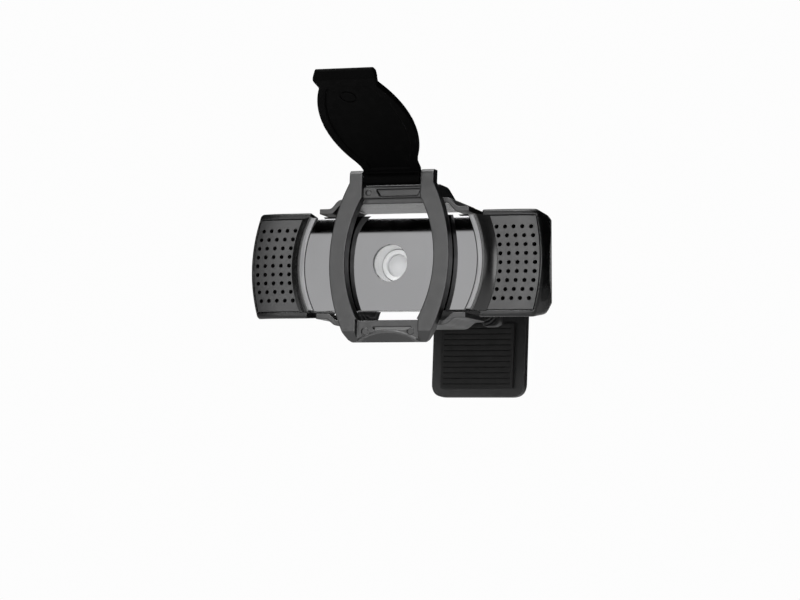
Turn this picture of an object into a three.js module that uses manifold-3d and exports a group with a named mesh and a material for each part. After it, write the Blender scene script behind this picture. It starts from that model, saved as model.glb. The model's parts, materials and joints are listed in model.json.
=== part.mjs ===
// A bar-shaped desk webcam: a head with two microphone grilles and a mirror faceplate, a clip-on
// privacy cover with a flip-up lid, and a monitor clip with a folding leg. Millimetres, +Z up, the
// lens looks along -Y, and the origin is the middle of the clip's seat pad, which rests on a monitor.
import * as THREE from 'three';
import { mergeVertices } from 'three/addons/utils/BufferGeometryUtils.js';
import Module from 'manifold-3d';

const wasm = await Module();
wasm.setup();

// ---- driving dimensions ----
const GAP = 0.3;                  // clearance between neighbouring pieces
const LENS = [0, -46, 4.2];       // centre of the faceplate's front face
const HEAD = { halfWidth: 42.5, halfHeight: 14.5, depth: 24, bow: 2.5, corner: 0.8, wall: 1.6 };
const PARTING = 12;               // depth at which the front and rear housings meet
const RECESS = { halfWidth: 25, halfHeight: 12.95, slope: 0.1033 };
const POD_FRONT = 2.1;            // the grilles stand this far behind the faceplate
const PLATE = { halfWidth: 24.9, halfHeight: 12.6, radius: 27, thickness: 1.2, hole: 5 };
const TRIM_WIDTH = 1.2;
const BLOCK_HALF_WIDTH = 27.7;    // raised middle of the front housing, round the faceplate
const GRILLE = { inner: 29.2, outer: 41.5, halfHeight: 12.6, thickness: 1.2 };
const HOLES = { columns: 5, rows: 9, pitch: 2.4, radius: 0.55, firstColumn: 30.7, bend: 32 };
const HINGE = { y: 28.5, z: 1.5, knuckle: 3.9, lug: 4, pin: 1.5, halfWidth: 6.2 };
const CLIP = { halfWidth: 21.2, front: -17.2, back: 14.5, top: 3.9, lip: 2.8, lipBottom: -9.9 };
const PAD = { thickness: 1, prong: 1.2 };
const LEG = { axisY: 19.5, axisZ: 2.6, halfWidth: 14.2, bottom: -25.5, setBack: 4.3, thickness: 2.6 };
const TRIPOD = { z: -12, boss: 6.5, face: 28.6, insert: 4, thread: 2.55 };
const COVER = { offset: 0.9, lift: 0.4, front: -3.6, back: -0.4, outer: 17.25, inner: 12.8 };
const ARM = { front: -1.1, thickness: 1.45, end: 21.6, outerBend: 18.3, innerBend: 15.6, miter: 0.5 };
const UPPER_ARM = { side: 1, back: 17.4, flange: 13, raised: 15.5, slope: 0 };
const LOWER_ARM = { side: -1, back: 15.5, flange: 14.1, raised: 16, slope: 0.035 };
const NOTCH = { radius: 15.5, peak: -19.75 };
// Body behind the lid's hinge, on the upper arm, as (y, z) points.
const HUMP = {
  halfWidth: 12,
  profile: [[17, 16.2], [17, 17.2], [8.4, 21], [1.6, 21], [1.3, 19.8], [-0.5, 19.8], [-0.5, 16.2]],
};
const LID_ROOM = -2.2;             // the bridges of the cover stand behind the closed lid
const LID = { axisY: -1.9, axisZ: 22.3, barrel: 1.9, open: 118, gap: 0.3 };
// Lid and its outward bent finger tab as (y, z) points, and the tab's right side as (x, z) points.
const LID_PROFILE = [[-0.6, 0], [-0.6, -42], [-2.5, -43.6], [-3.5, -43.3], [-2.4, -41], [-2.4, 0]];
const TAB = [[8.2, -38.8], [8.8, -41.2], [8.8, -42.4], [7.9, -43.6]];
const BARREL = { radius: 4.3, front: 5.2, travelStop: 10.2 };

// ---- finishes ----
const finish = (color, roughness, metalness = 0) =>
  new THREE.MeshStandardMaterial({ color, roughness, metalness });
const blackPlastic = finish(0x2b2b2c, 0.55);
const coverPlastic = finish(0x39393a, 0.5);
const lidPlastic = finish(0x141415, 0.6);
const mirror = finish(0x9a9a9a, 0.12, 0.6);
const silver = finish(0xc4c5c6, 0.35, 0.7);
const glass = finish(0xdde3e6, 0.05);
const rubber = finish(0x1b1b1b, 0.9);
const steel = finish(0x8c8f92, 0.35, 1);
const brass = finish(0xb08d4a, 0.4, 1);
const board = finish(0x1f5a38, 0.6);
const chip = finish(0x17181a, 0.5);
const felt = finish(0x0d0d0d, 1);

// ---- solids ----
function toSolid(geometry) {
  const bare = geometry.clone();
  bare.deleteAttribute('normal');
  bare.deleteAttribute('uv');
  const merged = mergeVertices(bare, 1e-4);
  const vertProperties = new Float32Array(merged.attributes.position.array);
  return new wasm.Manifold(new wasm.Mesh({
    numProp: 3,
    vertProperties,
    triVerts: new Uint32Array(merged.index.array),
  }));
}

function toGeometry(solid) {
  const mesh = solid.getMesh();
  const geometry = new THREE.BufferGeometry();
  geometry.setAttribute('position', new THREE.BufferAttribute(mesh.vertProperties, 3));
  geometry.setIndex(new THREE.BufferAttribute(mesh.triVerts, 1));
  geometry.computeVertexNormals();
  return geometry;
}

const join = (first, ...others) => others.reduce((sum, next) => sum.add(next), first);
const cut = (first, ...others) => others.reduce((rest, next) => rest.subtract(next), first);

function block(x0, x1, y0, y1, z0, z1) {
  const geometry = new THREE.BoxGeometry(x1 - x0, y1 - y0, z1 - z0);
  geometry.translate((x0 + x1) / 2, (y0 + y1) / 2, (z0 + z1) / 2);
  return toSolid(geometry);
}

function extrude(shape, depth, curveSegments) {
  return new THREE.ExtrudeGeometry(shape, { depth, bevelEnabled: false, curveSegments });
}

// An outline drawn in front view (x, z), as a slab from y0 to y1.
function frontSlab(shape, y0, y1, curveSegments = 10) {
  const geometry = extrude(shape, y1 - y0, curveSegments);
  geometry.rotateX(Math.PI / 2);
  geometry.translate(0, y1, 0);
  return toSolid(geometry);
}

// An outline drawn from above (x, y), as a slab from z0 to z1.
function planSlab(shape, z0, z1, curveSegments = 8) {
  const geometry = extrude(shape, z1 - z0, curveSegments);
  geometry.translate(0, 0, z0);
  return toSolid(geometry);
}

// An outline drawn from the side (y, z), as a slab from x0 to x1.
function sideSlab(points, x0, x1) {
  const geometry = extrude(polygon(points), x1 - x0, 1);
  const yz = new THREE.Matrix4().makeBasis(
    new THREE.Vector3(0, 1, 0), new THREE.Vector3(0, 0, 1), new THREE.Vector3(1, 0, 0));
  geometry.applyMatrix4(yz);
  geometry.translate(x0, 0, 0);
  return toSolid(geometry);
}

const polygon = (points) => new THREE.Shape(points.map(([a, b]) => new THREE.Vector2(a, b)));

// Round pieces: a rod along Y or X, and a turned profile of [radius, distance] pairs along Y.
function rodY(radius, y0, y1, x = 0, z = 0, sides = 24) {
  const geometry = new THREE.CylinderGeometry(radius, radius, y1 - y0, sides);
  geometry.translate(x, (y0 + y1) / 2, z);
  return toSolid(geometry);
}

function rodX(radius, x0, x1, y, z, sides = 24) {
  const geometry = new THREE.CylinderGeometry(radius, radius, x1 - x0, sides);
  geometry.rotateZ(Math.PI / 2);
  geometry.translate((x0 + x1) / 2, y, z);
  return toSolid(geometry);
}

function turned(profile, sides = 24) {
  const points = profile.map(([radius, y]) => new THREE.Vector2(radius, y));
  return toSolid(new THREE.LatheGeometry(points, sides));
}

const object = new THREE.Group();
const head = new THREE.Group();
head.position.set(...LENS);
const cover = new THREE.Group();
cover.position.set(COVER.offset, 0, COVER.lift);
object.add(head);
head.add(cover);

function place(parent, name, solid, material) {
  const mesh = new THREE.Mesh(toGeometry(solid), material);
  mesh.name = name;
  parent.add(mesh);
}

const sides = [['left', -1], ['right', 1]];

// ---- outer form of the head ----
// Front view: two tall pods with bowed ends.
function headFront(inset) {
  const top = HEAD.halfHeight - inset;
  const end = HEAD.halfWidth - inset;
  const corner = end - HEAD.bow;
  const turn = top - HEAD.corner;
  const lead = 0.25;
  const bowed = 2 * end - corner - lead;
  const shape = new THREE.Shape();
  shape.moveTo(-corner + HEAD.corner, top);
  shape.lineTo(corner - HEAD.corner, top);
  shape.quadraticCurveTo(corner, top, corner + lead, turn);
  shape.quadraticCurveTo(bowed, 0, corner + lead, -turn);
  shape.quadraticCurveTo(corner, -top, corner - HEAD.corner, -top);
  shape.lineTo(-corner + HEAD.corner, -top);
  shape.quadraticCurveTo(-corner, -top, -corner - lead, -turn);
  shape.quadraticCurveTo(-bowed, 0, -corner - lead, turn);
  shape.quadraticCurveTo(-corner, top, -corner + HEAD.corner, top);
  return shape;
}

// From above: pods swept back towards round ends, and rounded rear shoulders.
function headPlan(inset) {
  const front = POD_FRONT + inset;
  const end = HEAD.halfWidth - inset;
  const back = HEAD.depth - inset;
  const shape = new THREE.Shape();
  shape.moveTo(-30, front + 0.1);
  shape.lineTo(30, front + 0.1);
  shape.lineTo(41.2 - inset, front + 0.5);
  shape.quadraticCurveTo(end, front + 0.6, end, front + 2.6);
  shape.lineTo(end, 12.6);
  shape.quadraticCurveTo(end - 0.6, 21 - inset, 30, back - 0.6);
  shape.quadraticCurveTo(26, back, 20, back);
  shape.lineTo(-20, back);
  shape.quadraticCurveTo(-26, back, -30, back - 0.6);
  shape.quadraticCurveTo(-end + 0.6, 21 - inset, -end, 12.6);
  shape.lineTo(-end, front + 2.6);
  shape.quadraticCurveTo(-end, front + 0.6, -41.2 + inset, front + 0.5);
  shape.lineTo(-30, front + 0.1);
  return shape;
}

// From the side: the top and bottom close in towards the back.
function headSide(inset) {
  const top = HEAD.halfHeight - inset;
  const upper = [[-1, top - 0.6], [2.4, top - 0.4], [3.4, top], [21.4, top - 2.2], [23.3, top - 3.2],
    [25, top - 6.2]];
  const lower = upper.map(([y, z]) => [y, -z]).reverse();
  return sideSlab([...upper, ...lower].reverse(), -50, 50);
}

// The middle of the head is lower than its pods, so that the cover's arms lie between them.
function headRecess(inset) {
  const edge = (y) => RECESS.halfHeight - RECESS.slope * y - inset;
  const half = RECESS.halfWidth + inset;
  const wedge = [[-5, edge(-5)], [30, edge(30)], [30, 20], [-5, 20]];
  const above = sideSlab(wedge, -half, half);
  const below = sideSlab(wedge.map(([y, z]) => [y, -z]).reverse(), -half, half);
  return above.add(below);
}

function headForm(inset) {
  const form = planSlab(headPlan(inset), -20, 20).intersect(frontSlab(headFront(inset), -5, 30));
  return form.intersect(headSide(inset)).subtract(headRecess(inset));
}

// Outline with two arc-shaped ends, as the faceplate has; grow widens it on all sides.
function plateOutline(grow, halfHeight) {
  const radius = PLATE.radius + grow;
  const centre = PLATE.halfWidth - PLATE.radius;
  const angle = Math.asin(halfHeight / radius);
  const shape = new THREE.Shape();
  shape.absarc(centre, 0, radius, -angle, angle, false);
  shape.absarc(-centre, 0, radius, Math.PI - angle, Math.PI + angle, false);
  return shape;
}

const outer = headForm(0);
const inner = headForm(HEAD.wall);
const blockGrow = BLOCK_HALF_WIDTH - PLATE.halfWidth;
const trimGrow = GAP + TRIM_WIDTH;
const pocketGrow = trimGrow + GAP;
const screwPlaces = [[-26, 6.5], [26, 6.5], [-26, -6.5], [26, -6.5]];
const WELL_RADIUS = 6.2;

// Window of a grille in the pod's front wall, side +1 or -1.
function grilleWindow(side, grow, y0, y1) {
  const halfHeight = GRILLE.halfHeight + grow;
  const bend = 3;
  const near = GRILLE.inner - grow;
  const far = GRILLE.outer + grow;
  const shape = new THREE.Shape();
  shape.moveTo(near - bend, -halfHeight);
  shape.lineTo(far - 1.6, -halfHeight);
  shape.quadraticCurveTo(far + 1.6, 0, far - 1.6, halfHeight);
  shape.lineTo(near - bend, halfHeight);
  shape.quadraticCurveTo(near + bend, 0, near - bend, -halfHeight);
  const window = frontSlab(shape, y0, y1, 8);
  return side > 0 ? window : window.mirror([1, 0, 0]);
}

function frontHousing() {
  const middle = frontSlab(plateOutline(blockGrow, RECESS.halfHeight), 0, POD_FRONT + 1.6)
    .subtract(headRecess(0));
  const shell = join(outer, middle).subtract(block(-50, 50, PARTING, 30, -20, 20)).subtract(inner);
  const pocket = frontSlab(plateOutline(pocketGrow, 16), -1, PLATE.thickness + GAP);
  const bosses = screwPlaces.map(([x, z]) => rodY(2.6, 3.2, PARTING - GAP, x, z, 16));
  const pilots = screwPlaces.map(([x, z]) => rodY(1.3, 5, PARTING, x, z, 12));
  const windows = sides.map(([, side]) => grilleWindow(side, GAP, -1, 9.5));
  return cut(join(shell, ...bosses), pocket, rodY(WELL_RADIUS + GAP, -1, 8), ...pilots, ...windows);
}

function rearHousing() {
  const shell = outer.subtract(block(-50, 50, -5, PARTING + GAP, -20, 20)).subtract(inner);
  const posts = screwPlaces.map(([x, z]) => rodY(3.4, PARTING + GAP, 23, x, z, 16));
  const sinks = screwPlaces.map(([x, z]) => rodY(2.5, 16, 26, x, z, 16));
  const throughs = screwPlaces.map(([x, z]) => rodY(1.3, PARTING, 26, x, z, 12));
  const lugs = sides.map(([, side]) => {
    const [x0, x1] = side > 0 ? [7.6, 11.4] : [-11.4, -7.6];
    const web = block(x0, x1, 23, HINGE.y, HINGE.z - HINGE.lug, HINGE.z + HINGE.lug);
    return web.add(rodX(HINGE.lug, x0, x1, HINGE.y, HINGE.z));
  });
  const bore = rodX(HINGE.pin + GAP, -12, 12, HINGE.y, HINGE.z, 16);
  const counterbores = [rodX(2.9, -12, -10, HINGE.y, HINGE.z), rodX(2.9, 10, 12, HINGE.y, HINGE.z)];
  const cableHole = rodY(2.6, 20, 26, 17, 0, 20);
  return cut(join(shell, ...posts, ...lugs), ...sinks, ...throughs, bore, ...counterbores, cableHole);
}

function grillePlate(side) {
  const layer = outer.subtract(headForm(GRILLE.thickness));
  const plate = layer.intersect(grilleWindow(side, 0, -1, 9));
  const holes = [];
  for (let column = 0; column < HOLES.columns; column += 1) {
    for (let row = 0; row < HOLES.rows; row += 1) {
      const z = (row - (HOLES.rows - 1) / 2) * HOLES.pitch;
      const bent = HOLES.bend - Math.sqrt(HOLES.bend ** 2 - z ** 2);
      const x = side * (HOLES.firstColumn + column * HOLES.pitch - bent);
      holes.push(rodY(HOLES.radius, 0, 9, x, z, 6));
    }
  }
  return cut(plate, wasm.Manifold.union(holes));
}

function trimArc(side) {
  const depth = PLATE.thickness;
  const ring = frontSlab(plateOutline(trimGrow, 12.6), -0.1, depth, 14)
    .subtract(frontSlab(plateOutline(GAP, 16), -1, depth + 1, 14));
  return ring.intersect(side > 0 ? block(0, 50, -5, 5, -20, 20) : block(-50, 0, -5, 5, -20, 20));
}

place(head, 'front_housing', frontHousing(), blackPlastic);
place(head, 'rear_housing', rearHousing(), blackPlastic);
const plateDisc = frontSlab(plateOutline(0, PLATE.halfHeight), 0, PLATE.thickness, 14);
place(head, 'faceplate', plateDisc.subtract(rodY(PLATE.hole, -1, 3, 0, 0, 32)), mirror);
for (const [name, side] of sides) {
  place(head, `trim_arc_${name}`, trimArc(side), silver);
  place(head, `grille_${name}`, grillePlate(side), blackPlastic);
}

// ---- microphones behind the grilles ----
for (const [name, side] of sides) {
  const [near, far] = side > 0 ? [29.6, 38] : [-38, -29.6];
  place(head, `microphone_felt_${name}`, block(near, far, 6.8, 7.3, -10, 10), felt);
  const x = side * 34;
  const boot = rodY(4.2, 7.6, 11, x, 0, 20).subtract(rodY(3.3, 7, 9.9, x, 0, 20));
  place(head, `microphone_boot_${name}`, boot, rubber);
  place(head, `microphone_capsule_${name}`, rodY(3, 7.6, 9.6, x, 0, 20), steel);
}

// ---- lens and autofocus ----
const well = [[5, 1.5], [WELL_RADIUS, 1.5], [WELL_RADIUS, 6], [4.65, 6], [4.65, 5.5], [5, 1.5]];
place(head, 'lens_window', rodY(PLATE.hole - GAP, 0.25, 0.85, 0, 0, 32), glass);
place(head, 'lens_well', turned(well, 32), silver);
const barrelProfile = [[3.1, BARREL.front], [BARREL.radius, BARREL.front], [BARREL.radius, 6],
  [3.9, 6.1], [3.9, BARREL.travelStop], [2.4, BARREL.travelStop], [2.4, 7.2], [3.1, 7.2],
  [3.1, BARREL.front]];
place(head, 'lens_barrel', turned(barrelProfile, 32), silver);
place(head, 'front_lens', turned([[0, 5.5], [1.5, 5.6], [2.8, 6.1], [2.8, 6.9], [0, 6.9]]), glass);
place(head, 'middle_lens', turned([[0, 7.3], [2.1, 7.5], [2.1, 8.3], [0, 8.5]]), glass);
place(head, 'rear_lens', turned([[0, 8.9], [2.1, 9], [2.1, 9.9], [0, 9.7]]), glass);
const motor = block(-6, 6, 6.4, 10.4, -6, 6).subtract(rodY(4.2, 6, 11, 0, 0, 24));
place(head, 'focus_motor', motor, chip);
const holder = block(-7, 7, 10.7, 12.9, -7, 7).subtract(block(-4.6, 4.6, 10, 13.5, -4.6, 4.6));
place(head, 'sensor_holder', holder, blackPlastic);
place(head, 'infrared_filter', block(-4.2, 4.2, 10.9, 11.3, -4.2, 4.2), glass);
place(head, 'image_sensor', block(-3.6, 3.6, 11.9, 12.9, -3.6, 3.6), chip);

// ---- electronics ----
place(head, 'sensor_board', block(-9, 9, 13.2, 14.3, -8, 8), board);
place(head, 'board_connector', block(-6, 6, 14.6, 16.6, -6.8, -4.4), chip);
place(head, 'main_board', block(-21, 21, 16.9, 18.1, -8, 8), board);
place(head, 'video_processor', block(-3, 5, 15.6, 16.6, -3.4, 4.6), chip);
place(head, 'status_led', block(12, 13.6, 15.9, 16.6, 3, 3.8), glass);
place(head, 'cable_header', block(4, 11, 18.4, 20.8, -2.4, 2.4), silver);
const gland = [[1.6, 20.9], [3.6, 20.9], [3.6, 22.1], [2.3, 22.1], [2.3, 25.6], [1.6, 25.6],
  [1.6, 20.9]];
place(head, 'cable_gland', turned(gland).translate([17, 0, 0]), rubber);

screwPlaces.forEach(([x, z], index) => {
  const screw = turned([[0, 6], [1, 6.4], [1, 16.3], [2.1, 16.3], [2.1, 17.7], [0, 18]], 12);
  place(head, `housing_screw_${index + 1}`, screw.translate([x, 0, z]), steel);
});

// ---- monitor clip ----
const hingeY = LENS[1] + HINGE.y;
const hingeZ = LENS[2] + HINGE.z;
const seatBottom = PAD.thickness + GAP;

// A pin with a head at each end, lying along X.
function headedPin(radius, headRadius, reach, headLength, y, z) {
  const shaft = rodX(radius, -reach, reach, y, z, 16);
  const heads = [rodX(headRadius, -reach, headLength - reach, y, z, 20),
    rodX(headRadius, reach - headLength, reach, y, z, 20)];
  return join(shaft, ...heads);
}

function clipBase() {
  const plate = block(-CLIP.halfWidth, CLIP.halfWidth, CLIP.front, CLIP.back, seatBottom, CLIP.top);
  const lip = new THREE.Shape();
  const half = CLIP.halfWidth;
  lip.moveTo(-half, seatBottom + 1);
  lip.lineTo(-half, CLIP.lipBottom + 2.2);
  lip.quadraticCurveTo(-half, CLIP.lipBottom, -half + 2.2, CLIP.lipBottom);
  lip.lineTo(-16.4, CLIP.lipBottom);
  lip.quadraticCurveTo(-15.4, CLIP.lipBottom + 6, -12, CLIP.lipBottom + 7.4);
  lip.quadraticCurveTo(0, CLIP.lipBottom + 9.6, 12, CLIP.lipBottom + 7.4);
  lip.quadraticCurveTo(15.4, CLIP.lipBottom + 6, 16.4, CLIP.lipBottom);
  lip.lineTo(half - 2.2, CLIP.lipBottom);
  lip.quadraticCurveTo(half, CLIP.lipBottom, half, CLIP.lipBottom + 2.2);
  lip.lineTo(half, seatBottom + 1);
  const front = frontSlab(lip, CLIP.front, CLIP.front + CLIP.lip, 6);
  const neck = block(-HINGE.halfWidth, HINGE.halfWidth, hingeY - 2, hingeY + 9, 2, hingeZ);
  const ramp = sideSlab([[hingeY, hingeZ + HINGE.knuckle - 0.1], [hingeY, 3], [hingeY + 16, 3],
    [hingeY + 16, CLIP.top]].reverse(), -HINGE.halfWidth, HINGE.halfWidth);
  const knuckle = rodX(HINGE.knuckle, -HINGE.halfWidth, HINGE.halfWidth, hingeY, hingeZ);
  const ears = sides.map(([, side]) => {
    const [x0, x1] = side > 0 ? [14.6, 19] : [-19, -14.6];
    const arm = block(x0, x1, CLIP.back - 1, LEG.axisY, seatBottom, CLIP.top);
    return arm.add(rodX(2.6, x0, x1, LEG.axisY, LEG.axisZ));
  });
  const lugRoom = [rodX(HINGE.lug + 0.5, -11.8, -HINGE.halfWidth, hingeY, hingeZ),
    rodX(HINGE.lug + 0.5, HINGE.halfWidth, 11.8, hingeY, hingeZ)];
  const hingeBore = rodX(HINGE.pin + GAP, -8, 8, hingeY, hingeZ, 16);
  const legBore = rodX(1.3, -20, 20, LEG.axisY, LEG.axisZ, 16);
  return cut(join(plate, front, neck, ramp, knuckle, ...ears), ...lugRoom, hingeBore, legBore);
}

function clipLeg() {
  const backFace = LEG.axisY + LEG.setBack + LEG.thickness;
  const panel = new THREE.Shape();
  const half = LEG.halfWidth;
  panel.moveTo(-half, LEG.axisZ + 2);
  panel.lineTo(-half, LEG.bottom + 3);
  panel.quadraticCurveTo(-half, LEG.bottom, -half + 3, LEG.bottom);
  panel.lineTo(half - 3, LEG.bottom);
  panel.quadraticCurveTo(half, LEG.bottom, half, LEG.bottom + 3);
  panel.lineTo(half, LEG.axisZ + 2);
  const plate = frontSlab(panel, backFace - LEG.thickness, backFace, 6);
  const shoulder = block(-half, half, LEG.axisY, backFace, LEG.axisZ - 2.6, LEG.axisZ + 2.6);
  const barrel = rodX(2.6, -half, half, LEG.axisY, LEG.axisZ);
  const boss = rodY(TRIPOD.boss, backFace - 1, TRIPOD.face, 0, TRIPOD.z, 32);
  const socket = rodY(TRIPOD.insert + GAP, backFace - 1, TRIPOD.face + 1, 0, TRIPOD.z, 24);
  const bore = rodX(1.3, -20, 20, LEG.axisY, LEG.axisZ, 16);
  return cut(join(plate, shoulder, barrel, boss), socket, bore);
}

place(object, 'clip_base', clipBase(), blackPlastic);
place(object, 'seat_pad', block(-16, 16, -10, 11, 0, PAD.thickness), rubber);
for (const [name, side] of sides) {
  const [near, far] = side > 0 ? [17, 20.6] : [-20.6, -17];
  const back = CLIP.front + CLIP.lip + GAP;
  place(object, `lip_pad_${name}`, block(near, far, back, back + PAD.prong, -9, -1), rubber);
  const washer = rodX(3.4, 6.5, 7.3, hingeY, hingeZ, 20).subtract(rodX(1.8, 6, 8, hingeY, hingeZ, 16));
  place(object, `hinge_washer_${name}`, side > 0 ? washer : washer.mirror([1, 0, 0]), steel);
}
place(object, 'hinge_pin', headedPin(HINGE.pin, 2.6, 11.2, 0.8, hingeY, hingeZ), steel);
place(object, 'leg_pin', rodX(1, -18.8, 18.8, LEG.axisY, LEG.axisZ, 16), steel);
place(object, 'clip_leg', clipLeg(), blackPlastic);
const legFront = LEG.axisY + LEG.setBack;
place(object, 'leg_pad', block(-11, 11, legFront - 1.3, legFront - GAP, -23, -4.5), rubber);
const insertSolid = rodY(TRIPOD.insert, legFront + 1.9, TRIPOD.face - 0.2, 0, TRIPOD.z, 24);
const thread = rodY(TRIPOD.thread, legFront + 1, TRIPOD.face + 1, 0, TRIPOD.z, 20);
place(object, 'tripod_insert', insertSolid.subtract(thread), brass);

// ---- privacy cover ----
// Half-widths of the two bowed bars at height z.
const bow = (half, radius, middle, z) => half - radius + Math.sqrt(radius ** 2 - (z - middle) ** 2);
const outerBar = (z) => bow(COVER.outer, 45.2, 0.1, z);
const innerBar = (z) => bow(COVER.inner, 34, 0.3, z);
const BAR = { top: 24.4, bottom: -22, shoulder: 21, foot: -20, bend: 16.4, post: 8.45, steps: 9 };

// Right half of an outline from top to bottom, mirrored into a closed shape.
const mirrored = (half) => polygon([...half, ...half.map(([x, z]) => [-x, z]).reverse()]);

function barCurve(width, top, bottom) {
  const points = [];
  for (let step = 0; step <= BAR.steps; step += 1) {
    const z = top + (bottom - top) * (step / BAR.steps);
    points.push([width(z), z]);
  }
  return points;
}

// An arm over or under the head: flanges at its ends and a raised middle, as two mirrored halves.
function coverArm({ side, back, flange, raised, slope }) {
  const thick = ARM.thickness;
  const near = [[0, raised], [ARM.innerBend, raised], [ARM.outerBend - ARM.miter, flange], [ARM.end, flange]];
  const far = [[ARM.end, flange + thick], [ARM.outerBend, flange + thick],
    [ARM.innerBend + ARM.miter, raised + thick], [0, raised + thick]];
  const outline = polygon([...near, ...far].map(([x, z]) => [x, side * z]));
  const half = frontSlab(outline, ARM.front, back).warp((point) => {
    point[2] -= side * slope * (point[1] - ARM.front);
  });
  return [half, half.mirror([1, 0, 0])];
}

function coverFrame() {
  const rim = [[outerBar(BAR.shoulder), BAR.top], ...barCurve(outerBar, BAR.shoulder, BAR.foot),
    [10.9, BAR.bottom]];
  const opening = [[BAR.post, BAR.bend + 0.6], ...barCurve(innerBar, BAR.bend, -BAR.bend)];
  const bars = frontSlab(mirrored(rim), COVER.front, COVER.back)
    .subtract(frontSlab(mirrored(opening), COVER.front - 1, COVER.back + 1));
  const lidRoom = block(-BAR.post, BAR.post, COVER.front - 1, COVER.back + 1, 20, 30);
  const tabRoom = block(-9, 9, COVER.front - 1, LID_ROOM, -30, -BAR.bend + 0.2);
  const bridgeRoom = block(-BAR.post, BAR.post, COVER.front - 1, LID_ROOM, BAR.bend, 21);
  const nailNotch = rodY(NOTCH.radius, -20, 0, 0, NOTCH.peak - NOTCH.radius, 64);
  const ring = cut(bars, lidRoom, tabRoom, bridgeRoom, nailNotch);
  const hump = sideSlab(HUMP.profile, -HUMP.halfWidth, HUMP.halfWidth);
  const pinBore = rodX(1, -11, 11, LID.axisY, LID.axisZ, 16);
  return cut(join(ring, ...coverArm(UPPER_ARM), ...coverArm(LOWER_ARM), hump), pinBore);
}

// Lid, drawn hanging closed from its hinge and then swung open.
function lidSolid() {
  const top = [[7.9, -1.2], [8.1, -4.6]];
  const curve = barCurve((z) => innerBar(z) - LID.gap, BAR.bend - 0.6, -BAR.bend + 0.4)
    .map(([x, z]) => [x, z - LID.axisZ]);
  const outline = frontSlab(mirrored([...top, ...curve, ...TAB]), -5, 0);
  const plate = outline.intersect(sideSlab(LID_PROFILE, -COVER.outer, COVER.outer));
  const barrel = rodX(LID.barrel, -8.1, 8.1, 0, 0);
  return join(plate, barrel).subtract(rodX(1, -9, 9, 0, 0, 16));
}

place(cover, 'cover_frame', coverFrame(), coverPlastic);
place(cover, 'lid_pin', rodX(0.7, -10.6, 10.6, LID.axisY, LID.axisZ, 12), steel);
const lid = new THREE.Group();
lid.position.set(0, LID.axisY, LID.axisZ);
lid.rotation.x = THREE.MathUtils.degToRad(-LID.open);
cover.add(lid);
place(lid, 'cover_lid', lidSolid(), lidPlastic);

export default object;
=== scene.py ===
# The looks of a clip-on webcam: a bar-shaped head with two microphone grilles and a mirror faceplate,
# a clip-on privacy cover with its lid flipped up, and a monitor clip with a folding leg.
# Shapes are drawn in millimetres from the middle of the faceplate's front (+X right, +Y back, +Z up),
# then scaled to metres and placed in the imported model's frame, which gives every joint's place.
import json
import math

import bmesh
import bpy
import numpy as np
from mathutils import Matrix, Vector

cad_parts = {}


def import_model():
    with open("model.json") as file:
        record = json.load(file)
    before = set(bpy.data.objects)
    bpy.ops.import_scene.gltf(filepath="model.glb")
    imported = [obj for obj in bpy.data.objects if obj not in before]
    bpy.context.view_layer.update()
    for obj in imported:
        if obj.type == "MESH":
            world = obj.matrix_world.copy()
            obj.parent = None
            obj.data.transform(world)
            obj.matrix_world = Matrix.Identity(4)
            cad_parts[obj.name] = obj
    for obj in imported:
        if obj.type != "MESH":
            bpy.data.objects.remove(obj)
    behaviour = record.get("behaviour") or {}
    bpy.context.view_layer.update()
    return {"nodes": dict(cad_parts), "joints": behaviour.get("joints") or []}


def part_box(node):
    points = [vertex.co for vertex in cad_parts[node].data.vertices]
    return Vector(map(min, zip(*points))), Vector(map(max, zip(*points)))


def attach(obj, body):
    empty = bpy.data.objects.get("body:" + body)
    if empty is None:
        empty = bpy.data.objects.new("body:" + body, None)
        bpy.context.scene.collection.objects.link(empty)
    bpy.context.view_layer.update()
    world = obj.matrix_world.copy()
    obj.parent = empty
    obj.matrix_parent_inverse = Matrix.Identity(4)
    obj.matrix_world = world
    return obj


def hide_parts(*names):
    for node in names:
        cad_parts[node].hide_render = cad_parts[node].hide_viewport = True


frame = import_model()

MM = 0.001
low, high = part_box("faceplate")
LENS = Vector(((low.x + high.x) / 2, low.y, (low.z + high.z) / 2))

# The cover is drawn about its own middle line, where its top is at COVER_TOP, and then shifted by COVER_AT.
COVER_TOP = 24.4
low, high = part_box("cover_frame")
COVER_AT = ((low.x + high.x) / 2 / MM, 0, (high.z - LENS.z) / MM - COVER_TOP)
joints = {joint["name"]: joint for joint in frame["joints"]}


def joint_place(name):
    """A hinge's point in millimetres from the lens."""
    return (Vector(joints[name]["pos_m"]) - LENS) / MM


HINGE = joint_place("head_tilt")
LEG = joint_place("leg_fold")
LID = joint_place("lid_flip") - Vector(COVER_AT)
SEAT = -LENS.z / MM
SHARP = 35


# ---- mesh tools ----
def make(name, vertices, faces):
    mesh = bpy.data.meshes.new(name)
    mesh.from_pydata(vertices, [], faces)
    shape = bpy.data.objects.new(name, mesh)
    bpy.context.scene.collection.objects.link(shape)
    work = bmesh.new()
    work.from_mesh(mesh)
    bmesh.ops.remove_doubles(work, verts=work.verts, dist=1e-5)
    bmesh.ops.recalc_face_normals(work, faces=work.faces)
    work.to_mesh(mesh)
    work.free()
    return shape


def skin(name, loops):
    """A closed mesh through loops that have the same number of points."""
    count = len(loops[0])
    vertices = [point for loop in loops for point in loop]
    faces = [list(range(count)), list(range(len(vertices) - count, len(vertices)))]
    for k in range(len(loops) - 1):
        for i in range(count):
            j = (i + 1) % count
            faces.append([k * count + i, k * count + j, (k + 1) * count + j, (k + 1) * count + i])
    return make(name, vertices, faces)


AXES = {
    "front": lambda a, b, depth: (a, depth, b),
    "plan": lambda a, b, depth: (a, b, depth),
    "side": lambda a, b, depth: (depth, a, b),
}


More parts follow.
